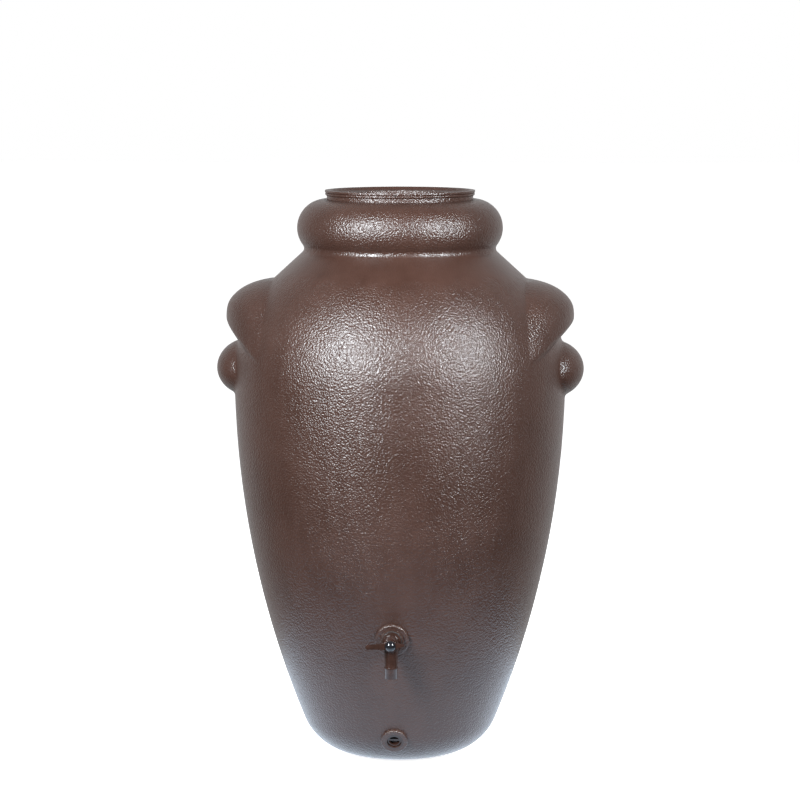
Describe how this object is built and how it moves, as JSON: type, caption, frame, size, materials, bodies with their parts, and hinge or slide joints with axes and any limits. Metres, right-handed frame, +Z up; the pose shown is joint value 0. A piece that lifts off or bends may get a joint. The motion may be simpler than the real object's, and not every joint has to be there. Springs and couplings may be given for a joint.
{
  "type": "rain barrel",
  "caption": "Urn-shaped rain barrel with side lugs, a lift-out planter in its neck, a quarter-turn tap, a low drain plug and a rear overflow.",
  "frame": {"origin": "centre of the base, on the ground", "axes": "+Z up along the barrel's axis; -Y is the front, where the tap is; the side lugs are on +X and -X"},
  "size_m": [0.682, 0.614, 1.05],
  "materials": {
    "shell_plastic": "dark brown polyethylene, moulded leather grain, satin",
    "tap_plastic": "dark brown moulded plastic, semi gloss",
    "gloss_cap": "near black polished cap",
    "black_plastic": "black moulded plastic",
    "rubber": "black sealing rubber",
    "steel_mesh": "perforated stainless steel",
    "stainless": "stainless steel",
    "brass": "machined brass"
  },
  "bodies": {
    "barrel": {"shell_foot": "shell_plastic", "shell_wall": "shell_plastic", "shell_shoulder": "shell_plastic", "shell_neck": "shell_plastic", "tap_insert": "brass", "tap_gasket": "rubber", "tap_body": "tap_plastic", "tap_bonnet": "tap_plastic", "drain_insert": "tap_plastic", "overflow_spigot": "black_plastic", "overflow_gasket": "rubber", "overflow_nut": "black_plastic"},
    "planter": {"planter_bowl": "shell_plastic", "screen_mesh": "steel_mesh", "screen_retainer": "black_plastic", "screen_screws": "stainless"},
    "tap_handle": {"tap_lever": "tap_plastic", "lever_screw": "stainless", "lever_cap": "gloss_cap", "tap_rotor": "black_plastic", "tap_rotor_orings": "rubber"},
    "plug_seal": {"drain_plug_seal": "rubber"},
    "plug": {"drain_plug": "tap_plastic"}
  },
  "joints": [
    {"name": "planter_lift", "type": "slide", "parent": "barrel", "child": "planter", "axis": [0, 0, 1], "range_m": [0, 0.22]},
    {"name": "tap_turn", "type": "hinge", "parent": "barrel", "child": "tap_handle", "pos_m": [0, -0.26139, 0.259], "axis": [0, -1, 0], "range_deg": [0, 90]},
    {"name": "plug_out", "type": "slide", "parent": "barrel", "child": "plug_seal", "axis": [0, -0.9083, -0.4184], "range_m": [0, 0.00907]},
    {"name": "plug_turn", "type": "hinge", "parent": "plug_seal", "child": "plug", "pos_m": [0, -0.18277, 0.05491], "axis": [0, -0.9083, -0.4184], "range_deg": [0, 1800]}
  ],
  "couplings": [
    {"joint": "plug_out", "follows": "plug_turn", "m_per_rad": 0.00028871}
  ]
}
